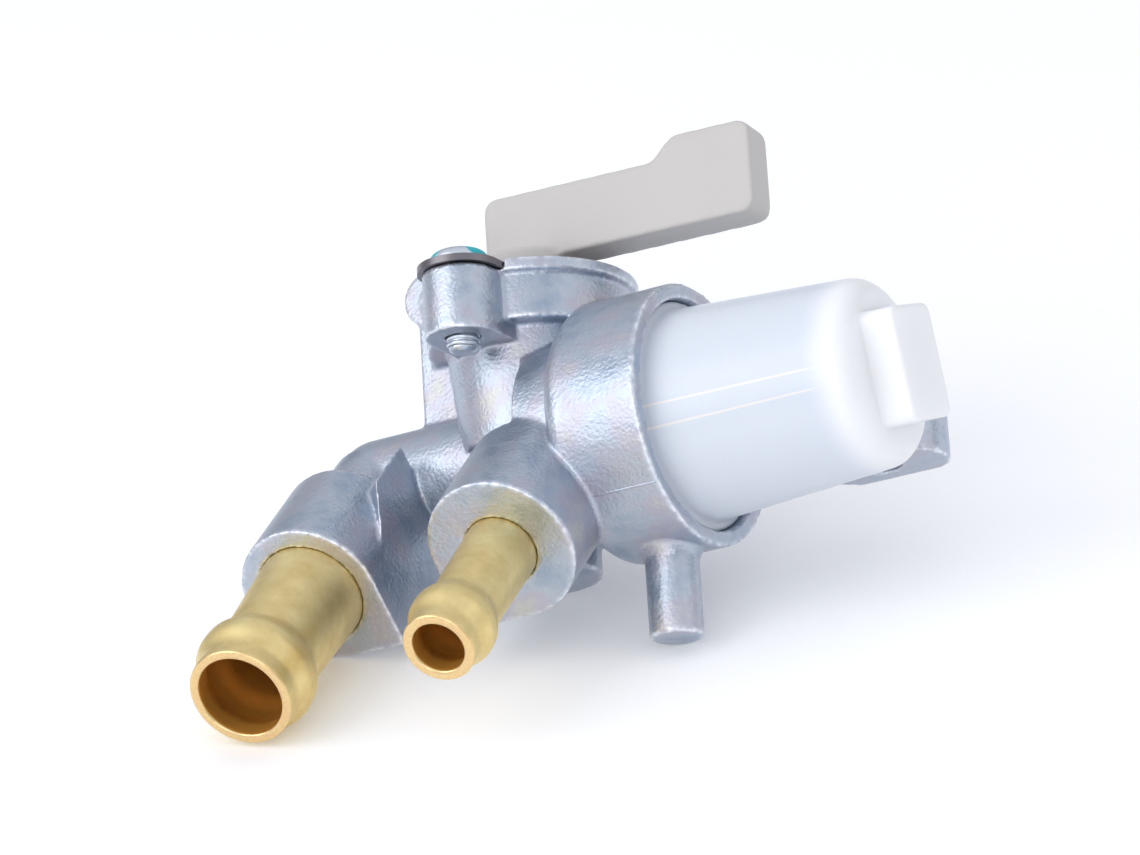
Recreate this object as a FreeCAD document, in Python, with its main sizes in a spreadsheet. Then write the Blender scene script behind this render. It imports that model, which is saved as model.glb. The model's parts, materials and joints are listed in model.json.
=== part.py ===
"""Fuel tap: zinc casting with two brass hose spigots, a screwed-in sediment bowl with its strainer,
and a turning lever held by a plate and two screws.

Frame of the solids, in mm: Z is up and the bowl hangs down, the lever faces the front (-Y), and the origin is
the middle of the mounting ear's hole on its seat. The sizes below are taken from the bowl's axis and rim.
"""

import FreeCAD
import Part

import math
import os
import re

from FreeCAD import Rotation, Vector

import Sketcher

SIZES = {
    # Sediment bowl, on the axis that the casting's ring and barrel share
    "bowl_radius": 12.05,
    "bowl_draft": 1.35,
    "bowl_length": 23.6,
    "bowl_wall": 1.5,
    "bowl_round": 2.6,
    "bowl_rise": 1.03,
    "bowl_gap": 0.12,
    "bowl_recess": 0.67,
    "key_width": 10.0,
    "key_breadth": 12.8,
    "key_height": 4.1,
    "key_corner": 1.2,
    "key_turn": 18.0,
    "seal_section": 1.0,
    # Ring that takes the bowl; depths go up from its rim
    "ring_wall": 1.8,
    "ring_depth": 12.4,
    "ring_round": 2.4,
    "step_wall": 1.6,
    "step_depth": 17.6,
    "mouth_depth": 8.5,
    "chamber_ledge": 0.15,
    "chamber_rise": 3.0,
    # Barrel behind the ring
    "barrel_radius": 6.0,
    "barrel_cap": 5.4,
    "barrel_bore": 2.5,
    # Valve housing, around the lever's spindle
    "spindle_height": 21.4,
    "column_radius": 6.5,
    "column_foot": 14.9,
    "neck_radius": 8.3,
    "neck_top_radius": 9.7,
    "housing_radius": 11.9,
    "housing_wall": 1.5,
    "housing_foot": 12.4,
    "floor_wall": 1.1,
    "rim_lip": 0.7,
    "rim_wall": 1.5,
    "rim_rise": 1.2,
    "port_circle": 3.4,
    "port_radius": 1.6,
    "port_margin": 0.4,
    # Screw ears beside the housing
    "ear_reach": 1.4,
    "ear_raise": 0.9,
    "ear_radius": 4.3,
    "ear_depth": 7.7,
    "thread_radius": 2.0,
    "thread_clearance": 0.03,
    # Hose bosses, square to the bowl's axis and turned down by spigot_angle
    "spigot_angle": 45.0,
    "boss_face": 22.4,
    "boss_back": 8.8,
    "boss_floor": 8.6,
    "spigot_seat": 10.0,
    "spigot_clearance": 0.02,
    "seat_step": 0.6,
    # Inlet spigot: its bore, and how far each stretch of the tube stands out from it
    "inlet_height": 42.6,
    "inlet_bore": 4.85,
    "inlet_wall": 1.35,
    "inlet_neck": 0.8,
    "inlet_bead": 2.0,
    "inlet_lip": 1.08,
    "inlet_length": 21.0,
    "inlet_boss_wall": 2.15,
    # Outlet spigot, in the same way
    "outlet_height": 17.5,
    "outlet_bore": 2.93,
    "outlet_wall": 1.22,
    "outlet_neck": 1.07,
    "outlet_bead": 1.97,
    "outlet_lip": 1.17,
    "outlet_length": 19.9,
    "outlet_boss_wall": 4.5,
    # Fin on the inlet boss
    "web_back": 4.8,
    "web_top": 7.4,
    "web_front": 12.7,
    "web_foot": 3.0,
    "web_wall": 2.4,
    "web_lean": 42.0,
    # Locating pin under the ring
    "pin_height": 5.0,
    "pin_radius": 3.05,
    "pin_length": 9.9,
    "pin_root": 1.0,
    # Mounting ear beside the bowl, around its hole
    "mount_gap": 0.75,
    "mount_inset": 3.6,
    "mount_outset": 5.2,
    "mount_drop": 13.0,
    "mount_foot": 8.0,
    "mount_rise": 4.6,
    "mount_waist": 8.4,
    "mount_swell": 1.1,
    "mount_sink": 0.6,
    "mount_seat": 5.0,
    "mount_wall": 6.0,
    "mount_corner": 3.6,
    "mount_hole": 2.75,
    # Rib between barrel and housing, with its round pad
    "rib_wall": 4.0,
    "rib_crown": 1.9,
    "rib_rise": 1.5,
    "pad_drop": 1.8,
    "pad_radius": 3.3,
    "pad_wall": 5.0,
    # Strainer
    "strainer_clearance": 0.02,
    "strainer_wall": 1.4,
    "gauze_radius": 6.2,
    "gauze_wall": 0.3,
    "strainer_reach": 15.0,
    "strainer_rib": 1.2,
    # Lever and its disc, the packing under it and what holds it
    "lever_turn": 4.2,
    "packing_wall": 2.4,
    "disc_gap": 0.3,
    "disc_wall": 1.6,
    "lever_gap": 2.8,
    "lever_tail": 4.0,
    "lever_reach": 29.9,
    "lever_wall": 5.1,
    "lever_low": 8.5,
    "lever_step": 2.6,
    "lever_slope_start": 17.6,
    "lever_slope": 2.6,
    "lever_round": 1.6,
    "running_gap": 0.05,
    "washer_room": 0.6,
    "washer_gap": 1.0,
    "washer_width": 2.6,
    "washer_margin": 0.9,
    "washer_wall": 0.25,
    "washer_waves": 3,
    "plate_wall": 0.8,
    "tab_lip": 0.5,
    "screw_head_radius": 3.4,
    "screw_head": 1.9,
    "screw_tip": 1.7,
    "recess_width": 0.9,
    "recess_length": 3.8,
    "recess_depth": 1.1,
}

# Sizes that follow from others, so that what fits together stays together
FITTED = {
    "bowl_end_radius": "bowl_radius - bowl_draft",
    "bowl_flange": "bowl_radius + bowl_rise",
    "key_end": "bowl_length + key_height",
    "mouth_radius": "bowl_flange + bowl_gap",
    "ring_radius": "mouth_radius + ring_wall",
    "chamber_radius": "bowl_radius - bowl_wall - chamber_ledge",
    "chamber_depth": "mouth_depth + chamber_rise",
    "step_radius": "chamber_radius + step_wall",
    "barrel_end": "inlet_height + barrel_cap",
    "housing_bore": "housing_radius - housing_wall",
    "housing_floor": "housing_foot + floor_wall",
    "bowl_port_offset": "chamber_radius - port_radius - port_margin",
    "disc_radius": "housing_bore - disc_gap",
    "disc_foot": "housing_floor + packing_wall + running_gap",
    "ear_top": "disc_foot + disc_wall + running_gap + washer_room",
    "ear_foot": "ear_top - ear_depth",
    "ear_offset": "housing_radius + ear_reach",
    "ear_height": "spindle_height + ear_raise",
    "rim_radius": "housing_radius + rim_lip",
    "rim_top": "ear_top + rim_rise",
    "rim_foot": "rim_top - rim_wall",
    "plate_tab": "ear_radius + tab_lip",
    "washer_outer": "disc_radius - washer_margin",
    "washer_inner": "washer_outer - washer_width",
    "hub_radius": "washer_inner - washer_gap",
    "inlet_radius": "inlet_bore + inlet_wall",
    "inlet_boss_radius": "inlet_radius + inlet_boss_wall",
    "outlet_radius": "outlet_bore + outlet_wall",
    "outlet_boss_radius": "outlet_radius + outlet_boss_wall",
    "pin_tip": "ring_radius + pin_length",
    "mount_side": "bowl_radius + mount_gap + mount_inset",
    "mount_inner": "mount_side - mount_inset",
    "mount_flank": "mount_side + mount_outset",
    "mount_reach": "mount_drop + mount_foot",
    "rib_end": "spindle_height + housing_radius + rib_crown",
    "rib_top": "rim_top + rib_rise",
    "lever_foot": "rim_top + lever_gap",
    "lever_high": "lever_low + lever_step",
    "lever_slope_end": "lever_slope_start + lever_slope",
}

DOC = FreeCAD.newDocument("fuel_tap")
SHEET = DOC.addObject("Spreadsheet::Sheet", "Sizes")
for row, (alias, value) in enumerate(SIZES.items(), start=1):
    SHEET.set(f"A{row}", alias)
    SHEET.set(f"B{row}", str(value))
    SHEET.setAlias(f"B{row}", alias)
DOC.recompute()

WORD = re.compile(r"[a-z_]+")

# Directions in the object's frame
UPWARD = Rotation()
FORWARD = Rotation(Vector(1, 0, 0), 90)
SIDEWAYS = Rotation(Vector(0, 1, 0), 90)
HOSEWARD = Rotation(Vector(0, 0, 1), SIZES["spigot_angle"]) * Rotation(Vector(1, 0, 0), -90)


def bound(expression):
    """The expression with each size's name pointing to its cell, and each fitted size written out."""
    def cell(word):
        name = word.group()
        if name in FITTED:
            return f"({bound(FITTED[name])})"
        return f"Sizes.{name}" if name in SIZES else name

    return WORD.sub(cell, expression)


def bind(target, **sizes):
    """Ties properties of an object to expressions in the sheet's names."""
    for prop, expression in sizes.items():
        target.setExpression(prop, bound(expression))


def place(target, spot=("0", "0", "0"), turn=UPWARD):
    """Puts an object at a point taken from the bowl's axis and rim, in the frame of the mounting hole."""
    hole = ("-mount_side", "-mount_seat", "mount_drop")
    target.Placement = FreeCAD.Placement(Vector(), turn)
    for axis, ours, shift in zip("xyz", spot, hole):
        target.setExpression(f"Placement.Base.{axis}", bound(f"{ours} + {shift}"))
    return target


def along_hose(distance, height, rise="0"):
    """A point of a hose boss: distance out along the hose, height over the rim, rise across the hose."""
    out, up = f"({distance})", f"({rise})"
    cosine, sine = "cos(spigot_angle * 1 deg)", "sin(spigot_angle * 1 deg)"
    return (f"-{out} * {sine} - {up} * {cosine}", f"{out} * {cosine} - {up} * {sine}", height)


def in_front(rise, height="spindle_height", side="0"):
    """A point in front of the bowl's axis: rise towards the lever, height over the rim, side to the right."""
    return (side, f"-({rise})", height)


def cylinder(name, radius, height, spot, turn=UPWARD):
    item = DOC.addObject("Part::Cylinder", name)
    bind(item, Radius=radius, Height=height)
    return place(item, spot, turn)


def cone(name, radius, top_radius, height, spot, turn=UPWARD):
    item = DOC.addObject("Part::Cone", name)
    bind(item, Radius1=radius, Radius2=top_radius, Height=height)
    return place(item, spot, turn)


def box(name, length, width, height, spot, turn=UPWARD):
    item = DOC.addObject("Part::Box", name)
    bind(item, Length=length, Width=width, Height=height)
    return place(item, spot, turn)


def fuse(name, items):
    item = DOC.addObject("Part::MultiFuse", name)
    item.Shapes = items
    item.Refine = True
    return item


def cut(name, base, tools):
    item = DOC.addObject("Part::Cut", name)
    item.Base = base
    item.Tool = tools[0] if len(tools) == 1 else fuse(name + "_tools", tools)
    item.Refine = True
    return item


def fillet(name, base, radius, picks):
    """Rounds the edges of base that picks chooses."""
    DOC.recompute()
    chosen = [i for i, edge in enumerate(base.Shape.Edges, start=1) if picks(edge)]
    item = DOC.addObject("Part::Fillet", name)
    item.Base = base
    item.Edges = [(i, radius, radius) for i in chosen]
    return item


def direction(edge):
    return edge.tangentAt(edge.FirstParameter)


def origin_part(body, role):
    return next(feature for feature in body.Origin.OriginFeatures if feature.Role == role)


def profile(body, points, plane="XZ_Plane"):
    """A closed outline in one of the body's planes, each corner tied to the sheet."""
    sketch = body.newObject("Sketcher::SketchObject", body.Name + "_outline")
    sketch.AttachmentSupport = [(origin_part(body, plane), "")]
    sketch.MapMode = "FlatFace"
    values = [tuple(size(expression) for expression in point) for point in points]
    count = len(points)
    for i, start in enumerate(values):
        end = values[(i + 1) % count]
        sketch.addGeometry(Part.LineSegment(Vector(*start, 0), Vector(*end, 0)), False)
    for i in range(count):
        sketch.addConstraint(Sketcher.Constraint("Coincident", i, 2, (i + 1) % count, 1))
    for i, point in enumerate(points):
        for kind, axis, amount, expression in zip(("DistanceX", "DistanceY"), (-2, -1), values[i], point):
            if expression == "0":
                sketch.addConstraint(Sketcher.Constraint("PointOnObject", i, 1, axis))
            else:
                index = sketch.addConstraint(Sketcher.Constraint(kind, -1, 1, i, 1, amount))
                sketch.setExpression(f"Constraints[{index}]", bound(expression))
    return sketch


def size(expression):
    """The number that an expression in the sheet's names gives."""
    gauge = DOC.getObject("Gauge") or DOC.addObject("Part::Vertex", "Gauge")
    gauge.setExpression("X", bound(expression))
    gauge.recompute()
    return float(gauge.X)


def pad(label, points, length, plane="XY_Plane", lean="0"):
    """A body padded from an outline, its sides leaning in by an angle."""
    body = DOC.addObject("PartDesign::Body", label)
    sketch = profile(body, points, plane)
    block = body.newObject("PartDesign::Pad", label + "_pad")
    block.Profile = sketch
    bind(block, Length=length)
    if lean != "0":
        bind(block, TaperAngle=f"-({lean}) * 1 deg")
    sketch.Visibility = False
    return body


def quarter_round(out, up, radius, steps):
    """The corners of a quarter round about a centre, from its side to its top, drawn with flats."""
    angles = [math.pi / 2 * step / steps for step in range(steps + 1)]
    corners = [(f"{out} + {radius} * {math.cos(angle):.4f}", f"{up} + {radius} * {math.sin(angle):.4f}")
               for angle in angles]
    return corners[:-1] + [(out, f"{up} + {radius}")]


def turned(label, points):
    """A body turned about its own Z axis from an outline of (radius, height) points."""
    body = DOC.addObject("PartDesign::Body", label)
    sketch = profile(body, points)
    turn = body.newObject("PartDesign::Revolution", label + "_turn")
    turn.Profile = sketch
    turn.ReferenceAxis = (sketch, ["V_Axis"])
    turn.Angle = 360
    sketch.Visibility = False
    return body


def make_casting():
    """The zinc casting: ring, barrel, valve housing, ears, hose bosses, pin and mounting ear."""
    ring = turned("Ring", [("0", "0"), ("ring_radius", "0")]
                  + quarter_round("ring_radius - ring_round", "ring_depth - ring_round", "ring_round", 3)
                  + [("0", "ring_depth")])
    barrel = turned("Barrel", [("0", "0"), ("barrel_radius", "0")]
                    + quarter_round("0", "barrel_end - barrel_radius", "barrel_radius", 4))
    solid = [
        place(ring),
        place(barrel),
        cylinder("Step", "step_radius", "step_depth", ("0", "0", "0")),
        cylinder("Column", "column_radius", "column_foot", in_front("-column_foot"), FORWARD),
        cone("Neck", "neck_radius", "neck_top_radius", "housing_foot", in_front("0"), FORWARD),
        cylinder("Housing", "housing_radius", "rim_top - housing_foot", in_front("housing_foot"), FORWARD),
        cylinder("Rim", "rim_radius", "rim_top - rim_foot", in_front("rim_foot"), FORWARD),
        cylinder("Pin", "pin_radius", "pin_tip", in_front("-pin_tip", "pin_height"), FORWARD),
        cone("PinRoot", "pin_radius", "pin_radius + pin_root", "pin_root + 1",
             in_front("-(ring_radius + pin_root)", "pin_height"), FORWARD),
    ]
    for side, sign in (("Left", "-"), ("Right", "")):
        middle = f"{sign}ear_offset"
        solid.append(cylinder(side + "Ear", "ear_radius", "ear_top - ear_foot",
                              in_front("ear_foot", "ear_height", middle), FORWARD))
        inner = middle if sign else "0"
        solid.append(box(side + "EarWeb", "ear_offset", "2 * ear_radius", "ear_top - ear_foot",
                         in_front("ear_foot", "ear_height - ear_radius", inner), FORWARD))
    for end in ("inlet", "outlet"):
        solid += hose_boss(end)
    solid += rib() + [mounting_ear(), inlet_web()]
    hollow = [
        cylinder("Mouth", "mouth_radius", "mouth_depth", ("0", "0", "0")),
        cylinder("Chamber", "chamber_radius", "chamber_depth", ("0", "0", "0")),
        # the bore runs on through the pad, so that the disc and the plate can be put in
        cylinder("HousingBore", "housing_bore", "rib_top + pad_radius - housing_floor",
                 in_front("housing_floor"), FORWARD),
        cylinder("BarrelBore", "barrel_bore", "inlet_height - spindle_height - port_circle",
                 ("0", "0", "spindle_height + port_circle")),
        cylinder("InletRiser", "port_radius", "housing_floor",
                 in_front("0", "spindle_height + port_circle"), FORWARD),
        cylinder("OutletRiser", "port_radius", "housing_floor + port_circle",
                 in_front("-port_circle", "spindle_height", "-port_circle"), FORWARD),
        cylinder("BowlRiser", "port_radius", "housing_floor - bowl_port_offset",
                 in_front("bowl_port_offset", "spindle_height - port_circle"), FORWARD),
        cylinder("BowlPort", "port_radius", "spindle_height - port_circle",
                 in_front("bowl_port_offset", "0")),
        cylinder("MountHole", "mount_hole", "mount_wall",
                 in_front("-mount_seat", "mount_drop * -1", "mount_side"), FORWARD),
    ]
    for side, sign in (("Left", "-"), ("Right", "")):
        middle = f"{sign}ear_offset"
        hollow.append(cylinder(side + "Tapping", "thread_radius + thread_clearance", "ear_top",
                               in_front("0", "ear_height", middle), FORWARD))
        gap_start = middle + " - plate_tab - running_gap" if sign else "0"
        hollow.append(box(side + "RimGap", "ear_offset + plate_tab + running_gap",
                          "2 * (plate_tab + running_gap)", "rim_top - ear_top",
                          in_front("ear_top", "ear_height - plate_tab - running_gap", gap_start), FORWARD))
    for end in ("inlet", "outlet"):
        height = end + "_height"
        hollow.append(cylinder(end + "_socket", f"{end}_radius + spigot_clearance", "spigot_seat",
                               along_hose("boss_face - spigot_seat", height), HOSEWARD))
        hollow.append(cylinder(end + "_drilling", end + "_bore - seat_step", "boss_face",
                               along_hose("0", height), HOSEWARD))
    return cut("Casting", fuse("CastingSolid", solid), hollow)


def hose_boss(end):
    """A boss round on top and square below, towards the other boss."""
    height, radius = end + "_height", end + "_boss_radius"
    barrel = cylinder(end + "_boss", radius, "boss_face - boss_back",
                      along_hose("boss_back", height), HOSEWARD)
    root = cylinder(end + "_root", "barrel_radius", "boss_face - 1", along_hose("0", height), HOSEWARD)
    low = height if end == "outlet" else height + " - " + radius
    # the block's own length runs down across the hose, its width down along the bowl's axis
    block = box(end + "_block", "boss_floor", radius, "boss_face - web_back",
                along_hose("web_back", f"{low} + {radius}"), HOSEWARD)
    return [barrel, root, block]


def inlet_web():
    """Fin on the square side of the inlet boss, running back to a point on the barrel."""
    web = pad("InletWeb", [
        ("web_back", "-web_foot"),
        ("boss_face - 1", "-web_foot"),
        ("web_front", "web_top"),
        ("web_back", "web_top"),
    ], "web_wall", lean="web_lean")
    turn = Rotation(Vector(0, 0, 1), 90 + SIZES["spigot_angle"])
    return place(web, ("0", "0", "inlet_height - inlet_boss_radius"), turn)


def rib():
    """Rib in the plane of the two axes, under the housing and up past it, with a round pad at its corner."""
    low = box("LowRib", "rib_wall", "housing_foot + 1", "rib_end - spindle_height",
              ("rib_wall / -2", "-(housing_foot + 1)", "spindle_height"))
    high = box("HighRib", "rib_wall", "rib_top", "rib_crown + 1",
               ("rib_wall / -2", "-rib_top", "spindle_height + housing_radius - 1"))
    disc = cylinder("Pad", "pad_radius", "pad_wall",
                    ("pad_wall / -2", "-rib_top", "rib_end - pad_drop"), SIDEWAYS)
    return [low, high, disc]


def mounting_ear():
    """Flat ear beside the bowl, with rounded corners, running up into the ring."""
    ear = pad("MountPlate", [
        ("ring_radius / 2", "ring_depth"),
        ("ring_radius / 2", "0"),
        ("mount_inner", "0"),
        ("mount_inner", "-mount_reach"),
        ("mount_flank", "-mount_reach"),
        ("mount_flank", "mount_rise - mount_drop"),
        ("mount_side + mount_swell", "mount_waist - mount_drop"),
        ("ring_radius - mount_sink", "0"),
        ("ring_radius - ring_round", "ring_depth"),
    ], "mount_wall")
    place(ear, in_front("-mount_seat", "0"), FORWARD)
    drop = size("mount_drop - mount_reach")
    return fillet("MountRound", ear, size("mount_corner"),
                  lambda edge: abs(direction(edge).y) > 0.9 and abs(edge.CenterOfMass.z - drop) < 0.01)


def make_spigot(end):
    """Drawn brass tube with a rolled bead near its open end."""
    seat, length = "spigot_seat", end + "_length"
    bore, full = end + "_bore", f"{seat} + {length}"
    body = turned(end + "_spigot", [
        (bore, "0"),
        (end + "_radius", "0"),
        (end + "_radius", seat),
        (f"{bore} + {end}_neck", f"{seat} + {length} * 0.62"),
        (f"{bore} + {end}_bead", f"{seat} + {length} * 0.73"),
        (f"{bore} + {end}_bead", f"{seat} + {length} * 0.80"),
        (f"{bore} + {end}_lip", f"{seat} + {length} * 0.9"),
        (f"{bore} + {end}_lip", full),
        (bore, full),
    ])
    return place(body, along_hose("boss_face - spigot_seat", end + "_height"), HOSEWARD)


def make_bowl():
    """Moulded bowl with a closed end, a threaded neck and a key block."""
    top = "mouth_depth - 1.732 * seal_section"
    shell = turned("BowlShell", [
        ("0", "0"),
        ("bowl_end_radius - bowl_round", "0"),
        ("bowl_end_radius - bowl_round * 0.29", "bowl_round * 0.29"),
        ("bowl_end_radius", "bowl_round"),
        ("bowl_radius", "bowl_length"),
        ("bowl_radius", "bowl_length + bowl_recess"),
        ("bowl_flange", "bowl_length + bowl_recess"),
        ("bowl_flange", f"bowl_length + {top}"),
        ("bowl_radius - bowl_wall", f"bowl_length + {top}"),
        ("bowl_radius - bowl_wall", "bowl_length"),
        ("bowl_end_radius - bowl_wall", "bowl_wall + 2"),
        ("bowl_end_radius - bowl_wall - 2", "bowl_wall"),
        ("0", "bowl_wall"),
    ])
    place(shell, ("0", "0", "bowl_length * -1"))
    half_width, half_breadth = "key_width / 2", "key_breadth / 2"
    block = pad("KeyBlock", [
        ("key_width", "0"),
        ("key_width", "key_breadth"),
        ("0", "key_breadth"),
        ("0", "0"),
    ], "key_end - bowl_length + bowl_wall / 2")
    turn = Rotation(Vector(0, 0, -1), SIZES["key_turn"])
    cosine, sine = "cos(key_turn * 1 deg)", "sin(key_turn * 1 deg)"
    place(block, (f"-({half_width}) * {cosine} - {half_breadth} * {sine}",
                  f"{half_width} * {sine} - {half_breadth} * {cosine}", "key_end * -1"), turn)
    rounded = fillet("KeyRound", block, size("key_corner"), lambda edge: abs(direction(edge).z) > 0.9)
    return fuse("sediment_bowl", [shell, rounded])


def make_strainer():
    """Moulded cage with a top flange, four ribs and a closed foot, and the gauze inside it."""
    flange = turned("StrainerFlange", [
        ("gauze_radius - strainer_wall / 2", "0"),
        ("chamber_radius - strainer_clearance", "0"),
        ("chamber_radius - strainer_clearance", "strainer_wall"),
        ("gauze_radius - strainer_wall / 2", "strainer_wall"),
    ])
    place(flange, ("0", "0", "chamber_depth - strainer_wall"))
    foot = cylinder("StrainerFoot", "gauze_radius + strainer_rib", "strainer_wall",
                    ("0", "0", "-(strainer_reach + strainer_wall)"))
    ribs = []
    for i in range(4):
        name = f"StrainerRib{i + 1}"
        turn = Rotation(Vector(0, 0, 1), 90 * i)
        offset = turn.multVec(Vector(1, 0, 0))
        side = turn.multVec(Vector(0, 1, 0))
        spot = tuple(f"{along:.0f} * gauze_radius - {across:.0f} * strainer_rib / 2"
                     for along, across in ((offset.x, side.x), (offset.y, side.y)))
        ribs.append(box(name, "strainer_rib", "strainer_rib",
                        "strainer_reach + chamber_depth - strainer_wall", spot + ("-strainer_reach",), turn))
    cage = fuse("strainer_cage", [flange, foot] + ribs)
    gauze = turned("strainer_gauze", [
        ("gauze_radius - gauze_wall", "0"),
        ("gauze_radius", "0"),
        ("gauze_radius", "strainer_reach + chamber_depth - strainer_wall"),
        ("gauze_radius - gauze_wall", "strainer_reach + chamber_depth - strainer_wall"),
    ])
    place(gauze, ("0", "0", "-strainer_reach"))
    return cage, gauze


def make_bowl_seal():
    """Rubber ring on the bowl's edge, its round section drawn with six flats."""
    middle = "(mouth_radius + bowl_radius - bowl_wall) / 2"
    half, side = "seal_section * 0.5", "seal_section * 0.866"
    corners = [("seal_section", "0"), (half, side), (f"-{half}", side), ("-seal_section", "0"),
               (f"-{half}", f"-{side}"), (half, f"-{side}")]
    ring = turned("bowl_seal", [(f"{middle} + {out}", f"{side} + {up}") for out, up in corners])
    return place(ring, ("0", "0", f"mouth_depth - 2 * {side}"))


def make_packing():
    """Rubber disc under the lever, with a hole over each port."""
    disc = cylinder("PackingDisc", "housing_bore - running_gap", "packing_wall",
                    in_front("housing_floor"), FORWARD)
    holes = []
    for i, (side, lift) in enumerate((("0", "port_circle"), ("0", "-port_circle"), ("-port_circle", "0"))):
        holes.append(cylinder(f"PackingHole{i + 1}", "port_radius", "packing_wall",
                              in_front("housing_floor", f"spindle_height + {lift}", side), FORWARD))
    return cut("port_packing", disc, holes)


def make_lever():
    """Moulded lever: blade, hub and the disc that covers the ports."""
    disc = cylinder("LeverDisc", "disc_radius", "disc_wall", in_front("disc_foot"), FORWARD)
    hub = cylinder("LeverHub", "hub_radius", "lever_foot + 1 - disc_foot", in_front("disc_foot"), FORWARD)
    channel = cylinder("LeverChannel", "port_radius", "2 * port_circle",
                       in_front("disc_foot", "spindle_height - port_circle"), UPWARD)
    blade_body = pad("LeverBlade", [
        ("0", "0"),
        ("lever_tail + lever_reach", "0"),
        ("lever_tail + lever_reach", "lever_high"),
        ("lever_tail + lever_slope_end", "lever_high"),
        ("lever_tail + lever_slope_start", "lever_low"),
        ("0", "lever_low"),
    ], "lever_wall")
    # blade: its length runs down, its height to the front and its thickness across
    turn = Rotation(Vector(0, -1, 0), SIZES["lever_turn"]) * Rotation(Vector(0, 0, -1), Vector(0, -1, 0),
                                                                    Vector(-1, 0, 0), "ZYX")
    cosine, sine = "cos(lever_turn * 1 deg)", "sin(lever_turn * 1 deg)"
    place(blade_body, (f"lever_wall / 2 * {cosine} - lever_tail * {sine}", "-lever_foot",
                       f"spindle_height + lever_tail * {cosine} + lever_wall / 2 * {sine}"), turn)
    blade = fillet("BladeRound", blade_body, size("lever_round"), lambda edge: abs(direction(edge).x) > 0.9)
    return cut("tap_lever", fuse("LeverSolid", [disc, hub, blade]), [channel])


def make_plate():
    """Steel plate over the lever's disc, held down by a screw at each tab."""
    disc = cylinder("PlateDisc", "housing_bore - running_gap", "plate_wall", in_front("ear_top"), FORWARD)
    tabs = []
    for side, sign in (("Left", "-"), ("Right", "")):
        middle = f"{sign}ear_offset"
        tabs.append(cylinder(side + "Tab", "plate_tab", "plate_wall",
                             in_front("ear_top", "ear_height", middle), FORWARD))
        start = middle if sign else "0"
        tabs.append(box(side + "TabWeb", "ear_offset", "2 * plate_tab", "plate_wall",
                        in_front("ear_top", "ear_height - plate_tab", start), FORWARD))
    holes = [cylinder("PlateBore", "hub_radius + running_gap", "plate_wall", in_front("ear_top"), FORWARD)]
    for side, sign in (("Left", "-"), ("Right", "")):
        holes.append(cylinder(side + "TabHole", "thread_radius + thread_clearance", "plate_wall",
                              in_front("ear_top", "ear_height", f"{sign}ear_offset"), FORWARD))
    return cut("setting_plate", fuse("PlateSolid", [disc] + tabs), holes)


def facet(*corners):
    return Part.Face(Part.makePolygon(corners + corners[:1]))


def make_washer():
    """Wavy spring washer between the lever's disc and the plate."""
    low, high = size("disc_foot + disc_wall + running_gap"), size("ear_top - washer_wall")
    middle, swing = (low + high) / 2, (high - low) / 2 - 0.01
    waves = round(size("washer_waves"))
    steps = 12 * waves

    def corner(step, radius, rise):
        angle = 2 * math.pi * step / steps
        wave = swing * math.cos(waves * angle)
        return Vector(radius * math.cos(angle), radius * math.sin(angle), middle + wave + rise)

    faces = []
    inner, outer, wall = size("washer_inner"), size("washer_outer"), size("washer_wall")
    edges = ((inner, 0), (outer, 0), (outer, wall), (inner, wall))
    for step in range(steps):
        for here, there in zip(edges, edges[1:] + edges[:1]):
            near, far = corner(step, *here), corner(step, *there)
            next_near, next_far = corner(step + 1, *here), corner(step + 1, *there)
            faces += [facet(near, far, next_far), facet(near, next_far, next_near)]
    washer = DOC.addObject("Part::Feature", "wave_washer")
    washer.Shape = Part.Solid(Part.Shell(faces))
    return place(washer, in_front("0"), FORWARD)


def make_screws():
    """The two plate screws, with round heads and a cross recess."""
    screws = []
    for side, sign in (("Left", "-"), ("Right", "")):
        middle, height = f"{sign}ear_offset", "ear_height"
        seat = "ear_top + plate_wall"
        head = turned(side + "Head", [
            ("0", "0"),
            ("screw_head_radius", "0"),
            ("screw_head_radius", "screw_head * 0.3"),
            ("screw_head_radius * 0.88", "screw_head * 0.75"),
            ("screw_head_radius * 0.6", "screw_head"),
            ("0", "screw_head"),
        ])
        place(head, in_front(seat, height, middle), FORWARD)
        shank = cylinder(side + "Shank", "thread_radius", f"{seat} - ear_foot + screw_tip",
                         in_front("ear_foot - screw_tip", height, middle), FORWARD)
        slots = []
        for name, length, width in (("Slot", "recess_length", "recess_width"),
                                    ("CrossSlot", "recess_width", "recess_length")):
            slots.append(box(side + name, length, width, "recess_depth",
                             in_front(f"{seat} + screw_head - recess_depth", f"{height} - {width} / 2",
                                      f"{middle} - {length} / 2"), FORWARD))
        screws.append(cut(side + "Screw", fuse(side + "ScrewSolid", [head, shank]), slots))
    pair = DOC.addObject("Part::Compound", "plate_screws")
    pair.Links = screws
    return pair


def main():
    cage, gauze = make_strainer()
    parts = {
        "tap_casting": make_casting(),
        "inlet_spigot": make_spigot("inlet"),
        "outlet_spigot": make_spigot("outlet"),
        "sediment_bowl": make_bowl(),
        "bowl_seal": make_bowl_seal(),
        "strainer_cage": cage,
        "strainer_gauze": gauze,
        "port_packing": make_packing(),
        "tap_lever": make_lever(),
        "wave_washer": make_washer(),
        "setting_plate": make_plate(),
        "plate_screws": make_screws(),
    }
    DOC.recompute()
    for item in DOC.Objects:
        if "Invalid" in item.State or "Error" in item.State:
            raise RuntimeError(f"{item.Name} failed: {item.State}")
    os.makedirs("parts", exist_ok=True)
    for label, item in parts.items():
        item.Label = label
        shape = item.Shape
        if shape.isNull() or not shape.isValid():
            raise RuntimeError(f"{label} has no valid solid")
        shape.exportStep(f"parts/{label}.step")
        print(label, len(shape.Solids), round(shape.Volume, 1))


main()
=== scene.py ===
import json
import math

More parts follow.
